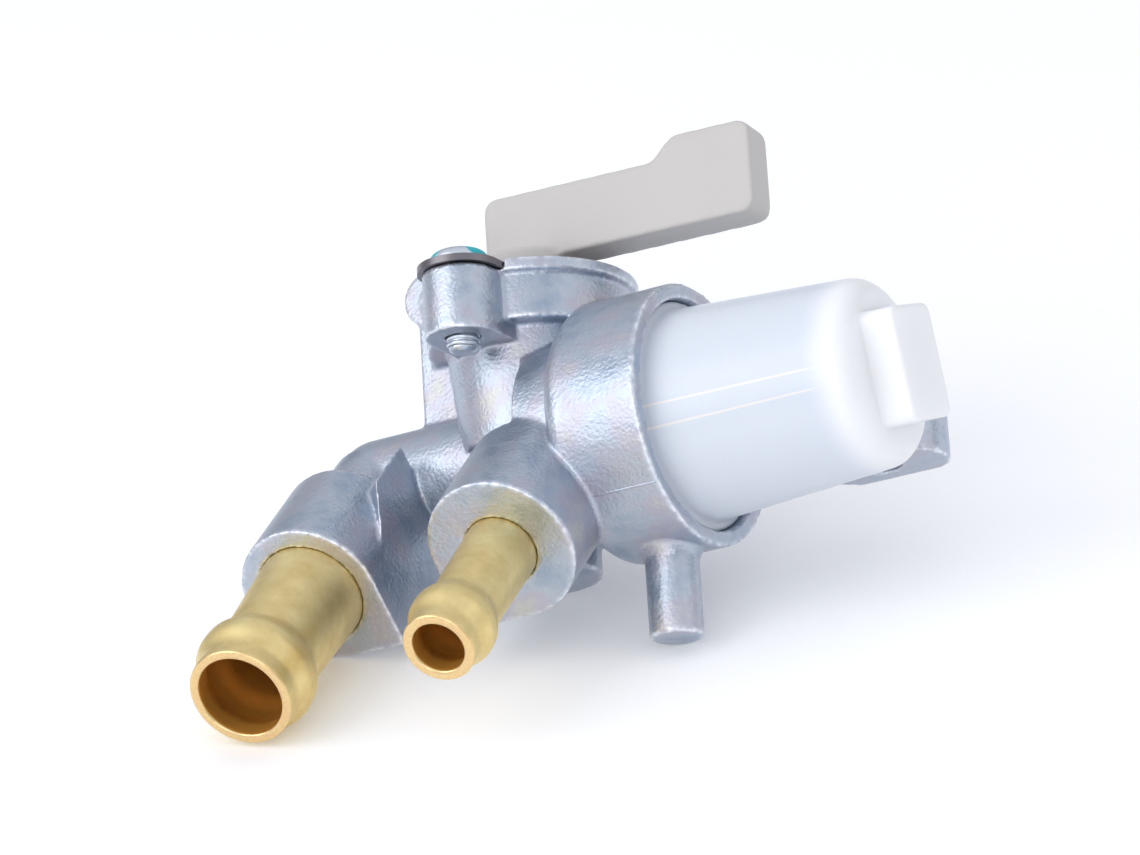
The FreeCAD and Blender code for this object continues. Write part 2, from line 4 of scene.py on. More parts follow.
import bmesh
import bpy
import numpy as np
from bpy.props import FloatProperty, FloatVectorProperty, IntProperty, PointerProperty
from mathutils import Matrix, Vector


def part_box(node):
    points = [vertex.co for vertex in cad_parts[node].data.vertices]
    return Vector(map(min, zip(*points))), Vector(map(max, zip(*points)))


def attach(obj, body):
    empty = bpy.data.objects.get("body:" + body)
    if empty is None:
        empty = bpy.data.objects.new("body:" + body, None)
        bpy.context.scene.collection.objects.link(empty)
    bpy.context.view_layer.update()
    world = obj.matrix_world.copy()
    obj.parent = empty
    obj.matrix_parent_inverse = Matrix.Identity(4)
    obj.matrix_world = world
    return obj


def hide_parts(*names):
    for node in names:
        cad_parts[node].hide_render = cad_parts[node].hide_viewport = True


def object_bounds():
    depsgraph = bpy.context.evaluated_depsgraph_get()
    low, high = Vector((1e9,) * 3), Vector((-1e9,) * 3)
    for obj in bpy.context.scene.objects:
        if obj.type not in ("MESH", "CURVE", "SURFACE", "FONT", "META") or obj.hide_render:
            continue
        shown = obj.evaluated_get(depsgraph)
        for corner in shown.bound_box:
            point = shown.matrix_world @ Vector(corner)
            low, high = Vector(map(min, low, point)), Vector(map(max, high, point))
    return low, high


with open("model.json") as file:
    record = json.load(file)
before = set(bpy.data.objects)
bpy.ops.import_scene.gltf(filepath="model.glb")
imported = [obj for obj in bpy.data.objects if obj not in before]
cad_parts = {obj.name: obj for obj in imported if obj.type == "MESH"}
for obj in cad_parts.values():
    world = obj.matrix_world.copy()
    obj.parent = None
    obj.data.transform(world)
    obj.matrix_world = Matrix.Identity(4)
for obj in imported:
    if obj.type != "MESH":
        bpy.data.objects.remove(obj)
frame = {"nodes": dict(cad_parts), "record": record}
CAD_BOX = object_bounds()

bl_info = {
    "name": "Fuel tap",
    "version": (1, 0, 0),
    "blender": (4, 5, 0),
    "location": "View3D > Sidebar > Fuel tap",
    "description": "Finishes, small pieces and studio of a die-cast fuel tap",
    "category": "Object",
}

MM = 0.001

# Places on the tap, taken from the frame and its record
MOUNTS = {mount["name"]: mount for mount in frame["record"]["mounts"]}
HOSEWARD = Vector(MOUNTS["inlet_bore"]["axis"])
BOWL_LOW, BOWL_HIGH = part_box("sediment_bowl")
BOWL_MIDDLE = (BOWL_LOW + BOWL_HIGH) / 2
SCREW_LOW, SCREW_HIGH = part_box("plate_screws")
# the bowl's axis at the casting's rim, which the solids' sizes are taken from
BOWL_REACH = 27.7 * MM
RIM = Vector((BOWL_MIDDLE.x, BOWL_MIDDLE.y, BOWL_LOW.z + BOWL_REACH))

# The camera stands where the photograph's did: its turn in the tap's frame, its distance and its aim
FOCAL_PIXELS = 5300.0
IMAGE = (1140, 855)
AIM_PIXEL = (701.7, 414.3)
PIXELS_A_MM = 9.0
# rows: the image's right, its up and the way back to the camera
CAMERA_TURN = Matrix(((0.51886, 0.05874, -0.85284),
                      (-0.23722, -0.94856, -0.20966),
                      (-0.82129, 0.31109, -0.47824)))
SENSOR_WIDTH = 36.0
# The tap lies on the floor at rest; this is the floor's upward direction in the tap's frame
FLOOR_UP = Vector((-0.6148, -0.7407, -0.2708)).normalized()


def linear(hex_colour, alpha=1.0):
    """An sRGB hex colour as the linear values that a shader takes."""
    parts = [int(hex_colour[i:i + 2], 16) / 255 for i in (1, 3, 5)]
    return tuple(c / 12.92 if c <= 0.04045 else ((c + 0.055) / 1.055) ** 2.4 for c in parts) + (alpha,)


def darker(shade, share):
    """The same colour with its light turned down to a share."""
    return tuple(value * share for value in shade[:3]) + (1.0,)


def length(name, description, millimetres):
    """A setting in metres, given in millimetres."""
    return FloatProperty(name=name, description=description, default=millimetres * MM, unit="LENGTH",
                         precision=5)


def bearing(name, description, degrees):
    """A setting in radians, given in degrees."""
    return FloatProperty(name=name, description=description, default=math.radians(degrees), unit="ROTATION")


def wattage(name, description, watts):
    """The power of a lamp."""
    return FloatProperty(name=name, description=description, default=watts, unit="POWER")


def whole(name, description, count):
    """A whole number, such as smoothing passes or triangles."""
    return IntProperty(name=name, description=description, default=count)


def colour(name, description, hex_colour):
    """A colour setting, given as sRGB hex."""
    return FloatVectorProperty(name=name, description=description, default=linear(hex_colour), size=4,
                               min=0.0, max=1.0, subtype="COLOR")


class CastingFinish(bpy.types.PropertyGroup):
    voxel: length("Voxel", "Grain at which the softened casting is rebuilt", 0.25)
    softness: whole("Softness", "Smoothing passes that round the cast edges", 6)
    most: whole("Most triangles", "Triangles that the softened casting is thinned to", 190000)
    ring_round: length("Ring rounding", "Radius at the ring's back edge", 2.4)
    ring_depth: length("Ring depth", "Height of the ring over its rim", 12.4)
    ring_radius: length("Ring radius", "Outside radius of the ring", 15.0)
    barrel_radius: length("Barrel radius", "Radius of the barrel and its round end", 6.0)
    barrel_cap: length("Barrel cap", "How far the barrel's end stands over the inlet spigot's axis", 5.4)
    seam_angle: bearing("Seam angle", "Where the parting line runs along the ring", 136.2)
    seam_width: length("Seam width", "Width of the parting line", 0.32)
    seam_start: length("Seam start", "Where the parting line starts over the rim", 0.3)
    seam_rise: length("Seam rise", "Length of the parting line", 8.0)
    worn_radius: length("Worn radius", "Edge radius that handling polishes fully", 0.55)
    cloud: length("Cloud size", "Size of the passivate's clouds", 6.0)
    chip: length("Chip size", "Size of the chips along worn edges", 0.9)
    wave: length("Wave size", "Size of the flow waves in the cast skin", 2.2)
    grain: length("Grain size", "Size of the pressed grain, drawn coarse", 0.42)
    blue: colour("Blue cloud", "Passivate where it is thick", "#9fadbf")
    silver: colour("Silver", "Passivate in between", "#b7c0cc")
    lilac: colour("Lilac cloud", "Passivate where it turns pink", "#bdbcc8")
    straw: colour("Straw cloud", "Passivate where it turns yellow", "#c6c7c4")
    # near white on convex edges: partly wear, partly a painted highlight along them
    edge: colour("Worn edge", "Zinc where handling has polished it", "#eef1f8")


class SpigotFinish(bpy.types.PropertyGroup):
    seat: length("Seat", "Length of tube inside its boss", 10.0)
    curl: length("Curl", "Rounding at the tube's end", 0.3)
    inlet_bore: length("Inlet bore", "Radius of the larger tube's bore", 4.85)
    inlet_wall: length("Inlet wall", "Wall of the larger tube", 1.35)
    inlet_neck: length("Inlet neck", "Wall just before the larger bead", 0.8)
    inlet_bead: length("Inlet bead", "Height of the larger bead over the bore", 2.0)
    inlet_lip: length("Inlet lip", "Wall at the larger tube's end", 1.08)
    outlet_bore: length("Outlet bore", "Radius of the smaller tube's bore", 2.93)
    outlet_wall: length("Outlet wall", "Wall of the smaller tube", 1.22)
    outlet_neck: length("Outlet neck", "Wall just before the smaller bead", 1.07)
    outlet_bead: length("Outlet bead", "Height of the smaller bead over the bore", 1.97)
    outlet_lip: length("Outlet lip", "Wall at the smaller tube's end", 1.17)
    light: colour("Light brass", "Freshly drawn brass", "#f2dea2")
    dull: colour("Dull brass", "Brass gone slightly brown", "#dac285")
    cut: colour("Cut brass", "Machined end of the tube", "#e2b483")
    # painted glow: the bore's gold is brighter and deeper than the tube's brass, standing in for light
    # bouncing inside the tube
    inner: colour("Bore brass", "Unpolished wall of the bore", "#f0b654")


class BowlFinish(bpy.types.PropertyGroup):
    voxel: length("Voxel", "Grain at which the softened bowl is rebuilt", 0.22)
    softness: whole("Softness", "Smoothing passes that round the moulded edges", 14)
    most: whole("Most triangles", "Triangles that the softened bowl is thinned to", 150000)
    end_radius: length("End radius", "Radius at the closed end", 10.7)
    end_round: length("End rounding", "Rounding at the closed end", 2.6)
    key_height: length("Key height", "Height of the block that a spanner takes", 4.1)
    # painted translucency: the thin wall is tinted bluish for the light that passes through it, the thick end
    # and key block whiter
    body: colour("Bowl wall", "Thin wall with light behind it", "#dbe2ec")
    solid: colour("Bowl end", "Thick end and key block", "#f4f5f7")
    # painted highlights: lighter lines along the two moulded flow lines
    flow: colour("Flow lines", "Lines where the plastic met in the mould", "#f6f1ee")
    flow_highlight_upper: bearing("Upper flow line", "Where the upper line runs along the bowl", 170.6)
    flow_highlight_lower: bearing("Lower flow line", "Where the lower line runs along the bowl", 158.6)
    flow_highlight_half: FloatProperty(name="Flow width", description="Half the angle that a flow line covers",
                             default=0.012, unit="ROTATION")
    flow_highlight_reach: length("Flow reach", "Length of the lines from the rim", 18.0)
    flow_highlight_fade: length("Flow fade", "Length over which the lines fade out", 2.5)
    strand: length("Strand spacing", "Spacing of the gauze's strands, drawn coarse", 0.5)
    # painted light and shade of the weave: lighter strand tops, darker gaps between the strands
    strand_highlight: colour("Strand", "Top of the gauze's strands", "#dfe5ea")
    strand_gap_shade: colour("Mesh", "Between the gauze's strands", "#8d98a3")
    rubber: colour("Rubber", "Moulded rubber", "#17171a")
    bloom: colour("Bloom", "Faint bloom on the rubber", "#2c2c2f")


class LeverFinish(bpy.types.PropertyGroup):
    voxel: length("Voxel", "Grain at which the softened lever is rebuilt", 0.25)
    softness: whole("Softness", "Smoothing passes that round the moulded edges", 22)
    most: whole("Most triangles", "Triangles that the softened lever is thinned to", 120000)
    grey: colour("Lever", "Warm light grey acetal", "#cbc7c3")


class ScrewFinish(bpy.types.PropertyGroup):
    head_radius: length("Head radius", "Radius of the round head", 3.4)
    head_height: length("Head height", "Height of the round head", 1.9)
    head_edge: length("Head edge", "Rounding of the head's and slots' edges", 0.12)
    recess_length: length("Recess length", "Length of each slot of the cross", 3.8)
    recess_width: length("Recess width", "Width of each slot of the cross", 0.9)
    recess_depth: length("Recess depth", "Depth of the cross", 1.1)
    core: length("Core radius", "Radius at the thread's root", 1.65)
    thread: length("Thread radius", "Radius at the thread's crest", 2.0)
    pitch: length("Pitch", "Distance from one thread to the next", 0.7)
    turns: FloatProperty(name="Turns", description="Threads drawn from the tip", default=4.0)
    thread_start: length("Thread start", "Where the thread starts before the tip", 0.5)
    plate: colour("Plate", "Dark oiled steel of the plate", "#8b878b")
    spring: colour("Spring washer", "Hardened steel of the spring washer", "#8f8b84")
    head: colour("Head", "Zinc-plated steel of the screws", "#e2e9f2")
    paint: colour("Locking paint", "Paint dabbed on the head once it is set", "#1fb5c0")


class StudioSettings(bpy.types.PropertyGroup):
    floor: colour("Floor", "Plain white floor", "#f6f6f7")
    floor_half: length("Floor", "Half the floor's width", 1500)
    lift: FloatProperty(name="Lift", description="Lifts the floor to white for the eye alone", default=0.16)
    key: wattage("Key lamp", "Power of the large soft lamp on the left", 1.35)
    key_size: length("Key size", "Width of the key lamp", 500)
    fill: wattage("Fill lamp", "Power of the lamp that looks into the spigots", 0.6)
    fill_size: length("Fill size", "Width of the fill lamp", 300)
    side: wattage("Side lamp", "Power of the lamp beside the bowl", 0.35)
    side_size: length("Side size", "Width of the side lamp", 550)
    distance: length("Lamp distance", "Distance of the lamps from the tap", 600)
    sky: FloatProperty(name="Sky", description="Strength of the room's light overhead", default=0.72)
    room: colour("Room", "Slightly cool light of the room", "#f4f7ff")


class TapSettings(bpy.types.PropertyGroup):
    casting: PointerProperty(type=CastingFinish)
    spigots: PointerProperty(type=SpigotFinish)
    bowl: PointerProperty(type=BowlFinish)
    lever: PointerProperty(type=LeverFinish)
    screws: PointerProperty(type=ScrewFinish)
    studio: PointerProperty(type=StudioSettings)


def node(tree, kind, inputs=None, stops=(), **settings):
    """Adds a node with its settings; inputs maps a socket to a value or to another node's output."""
    made = tree.nodes.new(kind)
    for name, setting in settings.items():
        setattr(made, name, setting)
    for index, (position, shade) in enumerate(stops):
        elements = made.color_ramp.elements
        element = elements[index] if index < len(elements) else elements.new(position)
        element.position, element.color = position, shade
    for socket, given in (inputs or {}).items():
        if isinstance(given, bpy.types.NodeSocket):
            tree.links.new(given, made.inputs[socket])
        else:
            made.inputs[socket].default_value = given
    return made


def new_material(name, roughness=0.5, metallic=0.0):
    """An empty node material with its shader, its tree and the coordinates that its patterns read."""
    material = bpy.data.materials.new(name)
    material.use_nodes = True
    tree = material.node_tree
    tree.nodes.clear()
    shader = node(tree, "ShaderNodeBsdfPrincipled", {"Roughness": roughness, "Metallic": metallic})
    node(tree, "ShaderNodeOutputMaterial", {"Surface": shader.outputs["BSDF"]})
    place = node(tree, "ShaderNodeTexCoord").outputs["Object"]
    return material, tree, shader, place


def wire(tree, shader, shade, bump, rough=None):
    """Links a pattern's colour, its bump and, where it varies, its roughness to the shader."""
    tree.links.new(shade, shader.inputs["Base Color"])
    tree.links.new(bump.outputs["Normal"], shader.inputs["Normal"])
    if rough:
        tree.links.new(rough.outputs["Result"], shader.inputs["Roughness"])


def let_light_in(shader, weight, depth, radius):
    """Lets some light into a plastic, to a depth that differs a little between red, green and blue."""
    shader.inputs["Subsurface Weight"].default_value = weight
    shader.inputs["Subsurface Scale"].default_value = depth
    shader.inputs["Subsurface Radius"].default_value = radius


def passivated_zinc(finish):
    """Die-cast zinc alloy, blue passivated: a pressed skin with flow waves, clouded pink, blue and straw,
    with convex edges painted near white, partly as wear and partly as a painted highlight.
    """
    material, tree, shader, place = new_material("passivated_zinc", metallic=1.0)
    clouds = node(tree, "ShaderNodeTexNoise", {
        "Vector": place, "Scale": 1 / finish.cloud, "Detail": 3.0, "Roughness": 0.6})
    tint = node(tree, "ShaderNodeValToRGB", {"Fac": clouds.outputs["Fac"]},
                stops=((0.30, finish.blue), (0.48, finish.silver), (0.60, finish.lilac),
                       (0.72, finish.straw)))
    worn = node(tree, "ShaderNodeAttribute", attribute_name="worn_edge")
    # handling chips the edges unevenly; the near-white edge colour is partly this wear and partly a painted
    # highlight
    chips = node(tree, "ShaderNodeTexNoise", {"Vector": place, "Scale": 1 / finish.chip, "Detail": 1.0})
    chance = node(tree, "ShaderNodeMapRange", {
        "Value": chips.outputs["Fac"], "From Min": 0.35, "From Max": 0.65, "To Min": 0.3, "To Max": 1.5})
    polish_and_highlight = node(tree, "ShaderNodeMath", {0: worn.outputs["Fac"], 1: chance.outputs["Result"]},
                  operation="MULTIPLY", use_clamp=True)
    tone = node(tree, "ShaderNodeMix", {0: polish_and_highlight.outputs[0], 6: tint.outputs["Color"], 7: finish.edge},
                data_type="RGBA")
    # flow waves a few millimetres wide, and a pressed grain that is drawn coarser than the real one
    waves = node(tree, "ShaderNodeTexNoise", {"Vector": place, "Scale": 1 / finish.wave, "Detail": 0.0})
    skin = node(tree, "ShaderNodeTexNoise", {"Vector": place, "Scale": 1 / finish.grain, "Detail": 1.0})
    broad = node(tree, "ShaderNodeBump", {
        "Height": waves.outputs["Fac"], "Strength": 0.5, "Distance": 0.14 * MM})
    fine = node(tree, "ShaderNodeBump", {
        "Height": skin.outputs["Fac"], "Normal": broad.outputs["Normal"], "Strength": 0.9,
        "Distance": 0.08 * MM})
    rough = node(tree, "ShaderNodeMapRange", {
        "Value": clouds.outputs["Fac"], "From Min": 0.3, "From Max": 0.7, "To Min": 0.34, "To Max": 0.48})
    wire(tree, shader, tone.outputs[2], fine, rough)
    return material


def drawn_brass(finish):
    """Drawn brass tube: satin, with faint lines along the draw and slightly brown clouds."""
    material, tree, shader, place = new_material("drawn_brass", metallic=1.0)
    turn = math.atan2(-HOSEWARD.x, HOSEWARD.y)
    # the draw's lines, 0.12 mm apart, run along the tube
    along = node(tree, "ShaderNodeMapping", {
        "Vector": place, "Rotation": (0, 0, turn),
        "Scale": (0.12 * MM, 9 * MM, 0.12 * MM)}, vector_type="TEXTURE")
    lines = node(tree, "ShaderNodeTexNoise", {"Vector": along.outputs["Vector"], "Scale": 1.0, "Detail": 2.0})
    clouds = node(tree, "ShaderNodeTexNoise", {
        "Vector": place, "Scale": 1 / (3.2 * MM), "Detail": 3.0, "Roughness": 0.6})
    tint = node(tree, "ShaderNodeValToRGB", {"Fac": clouds.outputs["Fac"]},
                stops=((0.25, finish.dull), (0.75, finish.light)))
    bump = node(tree, "ShaderNodeBump", {
        "Height": lines.outputs["Fac"], "Strength": 0.25, "Distance": 0.02 * MM})
    rough = node(tree, "ShaderNodeMapRange", {
        "Value": clouds.outputs["Fac"], "From Min": 0.3, "From Max": 0.7, "To Min": 0.5, "To Max": 0.4})
    wire(tree, shader, tint.outputs["Color"], bump, rough)
    return material


def cut_brass(finish):
    """Brass cut square with a saw: a pinkish gold flat with the marks of the cut across it."""
    material, tree, shader, place = new_material("cut_brass", roughness=0.3, metallic=1.0)
    marks = node(tree, "ShaderNodeTexNoise", {"Vector": place, "Scale": 1 / (0.3 * MM), "Detail": 3.0})
    shade = node(tree, "ShaderNodeMix", {0: marks.outputs["Fac"], 6: finish.cut, 7: finish.light},
                 data_type="RGBA")
    bump = node(tree, "ShaderNodeBump", {
        "Height": marks.outputs["Fac"], "Strength": 0.3, "Distance": 0.02 * MM})
    wire(tree, shader, shade.outputs[2], bump)
    return material


def bore_brass(finish):
    """The tube's bore: deep gold with stains, painted brighter and more saturated than the brass outside as
    the glow of light bouncing inside the tube, and just bright enough to carry light inwards.
    """
    material, tree, shader, place = new_material("bore_brass", roughness=0.3, metallic=0.6)
    stains = node(tree, "ShaderNodeTexNoise", {"Vector": place, "Scale": 1 / (2.4 * MM), "Detail": 2.0})
    tone = node(tree, "ShaderNodeMix", {
        0: stains.outputs["Fac"], 6: darker(finish.inner, 0.7), 7: finish.inner}, data_type="RGBA")
    bump = node(tree, "ShaderNodeBump", {
        "Height": stains.outputs["Fac"], "Strength": 0.2, "Distance": 0.05 * MM})
    wire(tree, shader, tone.outputs[2], bump)
    return material


def natural_polyamide(finish):
    """Natural polyamide, moulded: milky, with a bluish tone painted on the thin wall for the light that
    passes through it, whiter at the thick end, and two flow lines down its side drawn lighter as painted
    highlights.
    """
    material, tree, shader, place = new_material("natural_polyamide", roughness=0.28)
    centred = node(tree, "ShaderNodeMapping", {"Vector": place, "Location": -RIM}, vector_type="POINT")
    parts = node(tree, "ShaderNodeSeparateXYZ", {"Vector": centred.outputs["Vector"]})
    # the wall thickens over the last millimetres before the closed end; the bluish tone above it is painted
    # translucency of the thin wall
    end = BOWL_LOW.z + finish.key_height - RIM.z
    thick = node(tree, "ShaderNodeMapRange", {
        "Value": parts.outputs["Z"], "From Min": end + 1.0 * MM, "From Max": end + 5.5 * MM, "To Min": 1.0,
        "To Max": 0.0}, interpolation_type="SMOOTHSTEP")
    tone = node(tree, "ShaderNodeMix", {0: thick.outputs["Result"], 6: finish.body, 7: finish.solid},
                data_type="RGBA")
    # the flow lines, drawn lighter as painted highlights, fading out towards the closed end
    around = node(tree, "ShaderNodeMath", {0: parts.outputs["Y"], 1: parts.outputs["X"]}, operation="ARCTAN2")
    upper, lower = (node(tree, "ShaderNodeMath", {0: around.outputs[0], 1: where, 2: finish.flow_highlight_half},
                         operation="COMPARE") for where in (finish.flow_highlight_upper, finish.flow_highlight_lower))
    lines = node(tree, "ShaderNodeMath", {0: upper.outputs[0], 1: lower.outputs[0]}, operation="MAXIMUM")
    short = node(tree, "ShaderNodeMapRange", {
        "Value": parts.outputs["Z"], "From Min": -finish.flow_highlight_reach - finish.flow_highlight_fade,
        "From Max": -finish.flow_highlight_reach, "To Max": 0.7}, interpolation_type="SMOOTHSTEP")
    flow = node(tree, "ShaderNodeMath", {0: lines.outputs[0], 1: short.outputs["Result"]},
                operation="MULTIPLY")
    white = node(tree, "ShaderNodeMix", {0: flow.outputs[0], 6: tone.outputs[2], 7: finish.flow},
                 data_type="RGBA")
    wall = node(tree, "ShaderNodeTexNoise", {"Vector": place, "Scale": 1 / (1.8 * MM), "Detail": 2.0})
    ripple = node(tree, "ShaderNodeBump", {
        "Height": wall.outputs["Fac"], "Strength": 0.3, "Distance": 0.03 * MM})
    wire(tree, shader, white.outputs[2], ripple)
    let_light_in(shader, 0.75, 2.5 * MM, (0.88, 0.95, 1.0))
    return material


def woven_nylon(finish):
    """Woven nylon gauze: strands crossing at a right angle, drawn at half a millimetre so that they show,
    with painted highlights on the strands and painted shade in the gaps between them.
    """
    material, tree, shader, place = new_material("woven_nylon", roughness=0.5)
    # Blender's wave texture repeats every 0.314 units at scale 1
    warp, weft = (node(tree, "ShaderNodeTexWave", {"Vector": place, "Scale": 0.314 / finish.strand},
                       bands_direction=direction) for direction in ("Z", "DIAGONAL"))
    weave = node(tree, "ShaderNodeMath", {0: warp.outputs["Fac"], 1: weft.outputs["Fac"]},
                 operation="MAXIMUM")
    # the weave's light and shade is painted: lit strands over shaded gaps
    tone = node(tree, "ShaderNodeMix", {0: weave.outputs[0], 6: finish.strand_gap_shade, 7: finish.strand_highlight},
                data_type="RGBA")
    bump = node(tree, "ShaderNodeBump", {"Height": weave.outputs[0], "Strength": 0.6, "Distance": 0.1 * MM})
    wire(tree, shader, tone.outputs[2], bump)
    return material


def grey_acetal(finish):
    """Acetal, moulded in a warm light grey: a fine spark-eroded grain that softens its shine."""
    material, tree, shader, place = new_material("grey_acetal")
    grain = node(tree, "ShaderNodeTexNoise", {"Vector": place, "Scale": 1 / (0.35 * MM), "Detail": 3.0})
    shade = node(tree, "ShaderNodeTexNoise", {"Vector": place, "Scale": 1 / (12 * MM), "Detail": 2.0})
    tone = node(tree, "ShaderNodeMix", {
        0: shade.outputs["Fac"], 6: darker(finish.grey, 0.93), 7: finish.grey}, data_type="RGBA")
    bump = node(tree, "ShaderNodeBump", {
        "Height": grain.outputs["Fac"], "Strength": 0.3, "Distance": 0.03 * MM})
    rough = node(tree, "ShaderNodeMapRange", {"Value": grain.outputs["Fac"], "To Min": 0.4, "To Max": 0.55})
    wire(tree, shader, tone.outputs[2], bump, rough)
    let_light_in(shader, 0.08, 1 * MM, (1.0, 0.95, 0.9))
    return material


def rolled_steel(name, shade, roughness):
    """Rolled steel strip, thinly plated: dark, with the rolling's fine streaks and a smear of oil."""
    material, tree, shader, place = new_material(name, metallic=1.0)
    # streaks 0.2 mm apart, running across the plate
    across = node(tree, "ShaderNodeMapping", {"Vector": place, "Scale": (5 * MM, 5 * MM, 0.2 * MM)},
                  vector_type="TEXTURE")
    streaks = node(tree, "ShaderNodeTexNoise", {
        "Vector": across.outputs["Vector"], "Scale": 1.0, "Detail": 3.0})
    smear = node(tree, "ShaderNodeTexNoise", {"Vector": place, "Scale": 1 / (2.5 * MM), "Detail": 3.0})
    tone = node(tree, "ShaderNodeMix", {0: smear.outputs["Fac"], 6: darker(shade, 0.72), 7: shade},
                data_type="RGBA")
    bump = node(tree, "ShaderNodeBump", {
        "Height": streaks.outputs["Fac"], "Strength": 0.3, "Distance": 0.02 * MM})
    rough = node(tree, "ShaderNodeMapRange", {
        "Value": smear.outputs["Fac"], "To Min": roughness - 0.08, "To Max": roughness + 0.08})
    wire(tree, shader, tone.outputs[2], bump, rough)
    return material


def plated_steel(finish, dabs):
    """Zinc-plated steel, cold headed: bright and bluish, with worn dabs of locking paint on one head."""
    material, tree, shader, place = new_material("plated_steel")
    grime = node(tree, "ShaderNodeTexNoise", {"Vector": place, "Scale": 1 / (0.9 * MM), "Detail": 4.0})
    metal = node(tree, "ShaderNodeMix", {
        0: grime.outputs["Fac"], 6: darker(finish.head, 0.7), 7: finish.head}, data_type="RGBA")
    # how far a place lies outside the nearest dab, with the grime to make the paint's edge ragged
    gap = None
    for centre, reach in dabs:
        offset = node(tree, "ShaderNodeVectorMath", {0: place, 1: centre}, operation="DISTANCE")
        past = node(tree, "ShaderNodeMath", {0: offset.outputs["Value"], 1: reach}, operation="SUBTRACT")
        gap = past if gap is None else node(tree, "ShaderNodeMath", {
            0: gap.outputs[0], 1: past.outputs[0]}, operation="MINIMUM")
    ragged = node(tree, "ShaderNodeMath", {0: grime.outputs["Fac"], 1: 0.8 * MM, 2: -0.4 * MM},
                  operation="MULTIPLY_ADD")
    edge = node(tree, "ShaderNodeMath", {0: gap.outputs[0], 1: ragged.outputs[0]}, operation="ADD")
    painted = node(tree, "ShaderNodeMapRange", {
        "Value": edge.outputs[0], "From Min": 0.0, "From Max": 0.15 * MM, "To Min": 1.0, "To Max": 0.0})
    tone = node(tree, "ShaderNodeMix", {0: painted.outputs["Result"], 6: metal.outputs[2], 7: finish.paint},
                data_type="RGBA")
    bare = node(tree, "ShaderNodeMath", {0: 1.0, 1: painted.outputs["Result"]}, operation="SUBTRACT")
    bump = node(tree, "ShaderNodeBump", {
        "Height": painted.outputs["Result"], "Strength": 0.5, "Distance": 0.06 * MM})
    rough = node(tree, "ShaderNodeMapRange", {"Value": grime.outputs["Fac"], "To Min": 0.22, "To Max": 0.42})
    tree.links.new(bare.outputs[0], shader.inputs["Metallic"])
    wire(tree, shader, tone.outputs[2], bump, rough)
    return material


def nitrile_rubber(finish):
    """Nitrile rubber, moulded: near black and matt, with a faint bloom."""
    material, tree, shader, place = new_material("nitrile_rubber", roughness=0.7)
    bloom = node(tree, "ShaderNodeTexNoise", {"Vector": place, "Scale": 1 / (1.5 * MM), "Detail": 3.0})
    tone = node(tree, "ShaderNodeMix", {0: bloom.outputs["Fac"], 6: finish.rubber, 7: finish.bloom},
                data_type="RGBA")
    bump = node(tree, "ShaderNodeBump", {
        "Height": bloom.outputs["Fac"], "Strength": 0.2, "Distance": 0.03 * MM})
    wire(tree, shader, tone.outputs[2], bump)
    return material


def dress(names, material):
    """Gives CAD nodes, whose shape is right as it is, their material."""
    for name in names:
        data = frame["nodes"][name].data
        data.materials.clear()
        data.materials.append(material)


def spin(mesh, outline, place, steps=96):
    """Turns a closed (radius, height) outline about Z: up its outside, in at the top and down its inside."""
    angles = [2 * math.pi * step / steps for step in range(steps)]
    rings = []
    for radius, height in outline:
        if radius < 1e-9:
            rings.append([mesh.verts.new(place @ Vector((0, 0, height)))] * steps)
        else:
            rings.append([mesh.verts.new(place @ Vector((radius * math.cos(a), radius * math.sin(a), height)))
                          for a in angles])
    made = []
    for low, high in zip(rings, rings[1:] + rings[:1]):
        for here in range(steps):
            there = (here + 1) % steps
            corners = list(dict.fromkeys((low[here], low[there], high[there], high[here])))
            if len(corners) > 2:
                made.append(mesh.faces.new(corners))
    return made


def taken(mesh, name):
    """Turns a bmesh into mesh data of that name, and frees it."""
    data = bpy.data.meshes.new(name)
    mesh.to_mesh(data)
    mesh.free()
    return data


def new_piece(name, data):
    """An object at the origin that holds the data."""
    made = bpy.data.objects.new(name, data)
    bpy.context.scene.collection.objects.link(made)
    return made


def plain(made):
    """Turns an object with its modifiers into a plain smooth mesh."""
    bpy.context.view_layer.update()
    shown = made.evaluated_get(bpy.context.evaluated_depsgraph_get())
    made.data = bpy.data.meshes.new_from_object(shown)
    made.modifiers.clear()
    made.data.polygons.foreach_set("use_smooth", [True] * len(made.data.polygons))


def face_outwards(data):
    """Joins the seams of a mesh and turns its normals outwards."""
    mesh = bmesh.new()
    mesh.from_mesh(data)
    bmesh.ops.remove_doubles(mesh, verts=mesh.verts, dist=0.0005 * MM)
    bmesh.ops.recalc_face_normals(mesh, faces=mesh.faces)
    mesh.to_mesh(data)
    mesh.free()


def softened(source, name, finish, fillings=()):
    """A copy of a CAD node with its edges rounded as moulding or casting rounds them.

    Fillings are turned outlines, with their places, that round what the solid shows as a few flats.
    """
    mesh = bmesh.new()
    mesh.from_mesh(frame["nodes"][source].data)
    bmesh.ops.remove_doubles(mesh, verts=mesh.verts, dist=0.001 * MM)
    for outline, place in fillings:
        spin(mesh, outline, place)
    made = new_piece(name, taken(mesh, name))
    made.data.materials.clear()
    rebuild = made.modifiers.new("Voxels", "REMESH")
    rebuild.mode = "VOXEL"
    rebuild.voxel_size = finish.voxel
    smooth = made.modifiers.new("Smooth", "SMOOTH")
    smooth.factor = 0.5
    smooth.iterations = finish.softness
    plain(made)
    triangles = sum(len(face.vertices) - 2 for face in made.data.polygons)
    if triangles == 0:
        raise RuntimeError(f"{name} came out empty")
    if triangles > finish.most:
        thin = made.modifiers.new("Thin", "DECIMATE")
        thin.ratio = finish.most / triangles
        plain(made)
    return made


